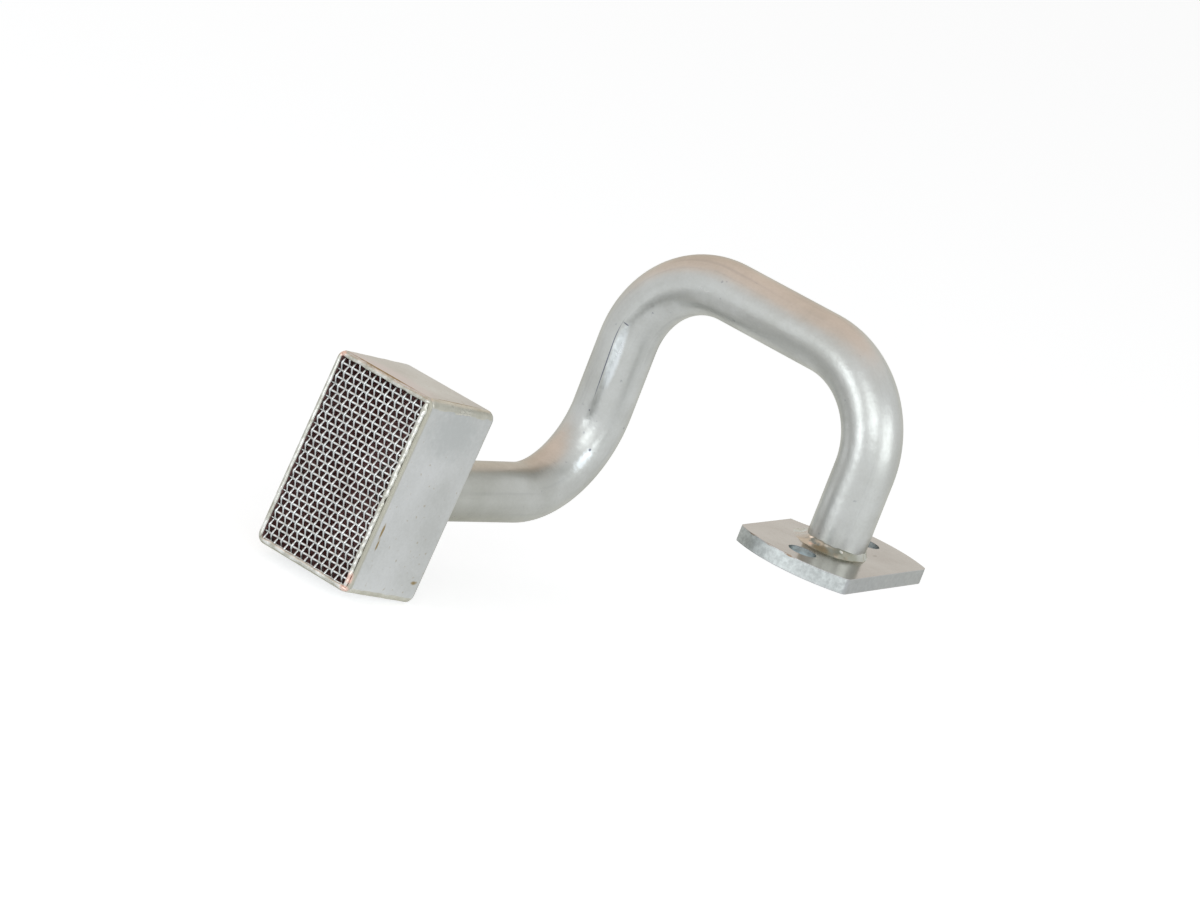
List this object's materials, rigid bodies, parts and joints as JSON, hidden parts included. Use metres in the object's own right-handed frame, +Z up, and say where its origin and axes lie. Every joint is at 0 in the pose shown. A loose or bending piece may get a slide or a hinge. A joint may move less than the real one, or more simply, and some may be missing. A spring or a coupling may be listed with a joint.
{
  "type": "oil_pickup_tube",
  "caption": "Bent steel oil pickup tube with a welded bolt-on flange at one end and a brazed box strainer with a woven wire screen at the other.",
  "frame": {"origin": "centre of the flange's mating face, on the axis of the tube's first leg", "axes": "+Z up the first leg, away from the part that the flange bolts to; the tube crosses over towards -X, drops and then runs towards -Y, where the screen faces"},
  "size_m": [0.1405, 0.1565, 0.1215],
  "materials": {
    "plated_tube": "satin zinc plate over drawn tube",
    "plated_plate": "bright zinc plate over flat bar",
    "plated_sheet": "satin zinc plate over folded sheet",
    "weld_metal": "plated weld bead with a golden tint",
    "braze_metal": "braze showing copper-pink through the plate",
    "screen_wire": "bright plain-weave wire"
  },
  "bodies": {
    "root": {"tube": "plated_tube", "flange": "plated_plate", "flange_weld": "weld_metal", "strainer_box": "plated_sheet", "inlet_weld": "weld_metal", "corner_seams": "braze_metal", "screen": "screen_wire", "screen_braze": "braze_metal"}
  },
  "joints": []
}
